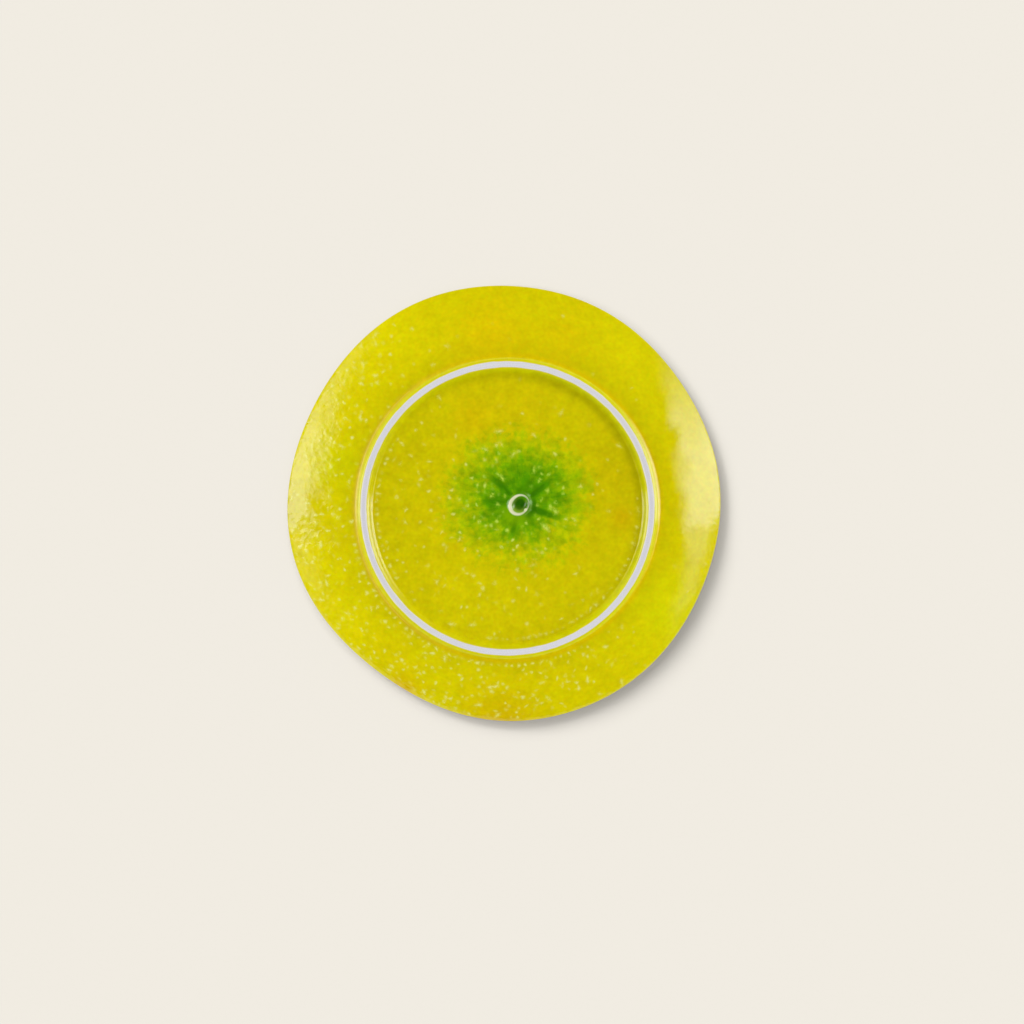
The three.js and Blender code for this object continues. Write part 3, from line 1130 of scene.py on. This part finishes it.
def between_angles(value, start, full, fall, end):
    return tent.smooth(value, start, full) * (1 - tent.smooth(value, fall, end))


def below(start, end, extra=0.0):
    """1 under the elevation start, 0 above end."""
    return 1 - tent.smooth(elevation + extra, start, end)


print("nodes for the directions:", len(tent.tree.nodes))

# %% The even light
def light(tint, strength):
    return tent.node("Background", None, {"Color": tint, "Strength": strength})


right_lobe = between_angles(azimuth, -75, -20, 50, 100) * below(15, 60)
left_lobe = between_angles(from_left, -90, -20, 10, 80) * below(15, 60)
tent_light = light((1, 1, 1, 1), 0.925 + right_lobe * 0.3 + left_lobe * 0.6)
seen_light = light((0.88, 0.84, 0.76, 1), 1)
print("nodes with the even light:", len(tent.tree.nodes))

# %% The softboxes
box_radiance = 5.6
right_slant = tent.maths("MAXIMUM", azimuth - 22, 0) * 1.1
low_slant = tent.maths("MAXIMUM", -8 - azimuth, 0)
left_slant = tent.maths("MAXIMUM", -4 - from_left, 0) * 0.45
off_table = tent.smooth(elevation, 3, 12)
right_dip = 0.5 + tent.smooth(elevation, -4, 1) * 0.5
right_white = between_angles(azimuth, -7, -2, 13, 46) * below(23, 42, right_slant) * right_dip * 0.9
right_soft = between_angles(azimuth, 0, 6, 14, 24) * below(40, 50) * 0.2
right_low = between_angles(azimuth, -58, -14, -5, -4) * 0.24 + between_angles(azimuth, -20, -7, -5, -4) * 0.12
right_low = right_low * below(22, 44, low_slant) * off_table
left_low = tent.smooth(elevation + between_angles(from_left, -22, -8, 6, 10) * 7, 3, 12)
left_white = between_angles(from_left, -60, -14, 3, 9) * below(16, 44, left_slant) * left_low * 0.72
left_tail = between_angles(from_left, 2, 6, 14, 40) * below(12, 27) * off_table * 0.15
right_gold = between_angles(azimuth, -66, -42, 45, 85) * below(-20, 62)
left_gold = between_angles(from_left, -85, -40, 15, 52) * below(14, 40)
white = right_white + right_soft * (1 - right_white) + right_low + left_white + left_tail
gold = (right_gold * 0.15 + left_gold * 0.25) * (1 - white)
softboxes = tent.vector("ADD", tent.scaled((1, 1, 1.05), white), tent.scaled((1, 0.98, 0), gold))
box_light = light(softboxes, box_radiance)
print("nodes with the softboxes:", len(tent.tree.nodes))

# %% One world out of the three
path = tent.node("LightPath")
unseen = tent.node("MixShader", None, {0: path.output("Is Glossy Ray"), 1: tent_light, 2: box_light})
everything = tent.node("MixShader", None, {0: path.output("Is Camera Ray"), 1: unseen, 2: seen_light})
tent.node("OutputWorld", None, {"Surface": everything})
print("nodes in the world:", len(tent.tree.nodes))

# %% [markdown]
# ## The floor's lamps
#
# The shadow on the floor comes from a broad light at the upper left. Seven suns side by side stand in for
# it: together they make a shadow that is wide at the side and soft at its edge. An eighth, straight
# above, sets how dark the shadow is. All of them light the floor alone.

# %% The lamps
floor_only = bpy.data.collections.new("lit_by_the_floor_lamps")
floor_only.objects.link(floor)


def floor_lamp(name, strength, height, width, fall):
    """A sun that lights only the floor. Its shadow falls towards a heading; angles are in degrees."""
    lamp = bpy.data.lights.new(name, "SUN")
    lamp.energy = strength * math.pi / math.sin(math.radians(height))
    lamp.angle = math.radians(width)
    holder = add_object(name, lamp)
    holder.rotation_euler = (0, math.radians(height - 90), math.radians(fall))
    holder.visible_glossy = False
    holder.light_linking.receiver_collection = floor_only


tent_share, fill_share = 1.04, 1.35
shadow_light = floor_light - tent_share - fill_share - glow_share
lamp_height, lamp_width, shadow_way = 30, 12, -44
shadow_lamps = ((0.34, 0), (0.17, -17), (0.17, 17), (0.08, -34), (0.08, 34), (0.08, -51), (0.08, 51))
for number, (share, aside) in enumerate(shadow_lamps):
    height = lamp_height + abs(aside) / 12
    floor_lamp(f"shadow_lamp_{number}", shadow_light * share, height, lamp_width, shadow_way + aside)
floor_lamp("fill_lamp", fill_share, 90, 4, 0)
print(f"shadow light {shadow_light:.1f}, fill {fill_share}, tent {tent_share}")

# %% [markdown]
# ## The camera
#
# The plate is seen from straight above through a long lens, 1.4 metres away, so that its near and far
# parts are almost of one scale.

# %% The camera
camera_data = bpy.data.cameras.new("camera")
camera_data.lens, camera_data.sensor_width = 100, 36
camera = add_object("camera", camera_data)
camera.location = [side * MM for side in (3.92, -4.18, 1381.9)]
bpy.context.scene.camera = camera
bpy.context.scene.view_settings.view_transform = "Standard"
print("camera height in mm:", round(camera.location[2] / MM, 1))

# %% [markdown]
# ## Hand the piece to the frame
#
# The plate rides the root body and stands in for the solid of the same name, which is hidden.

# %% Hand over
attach(plate, "root")
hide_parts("plate")
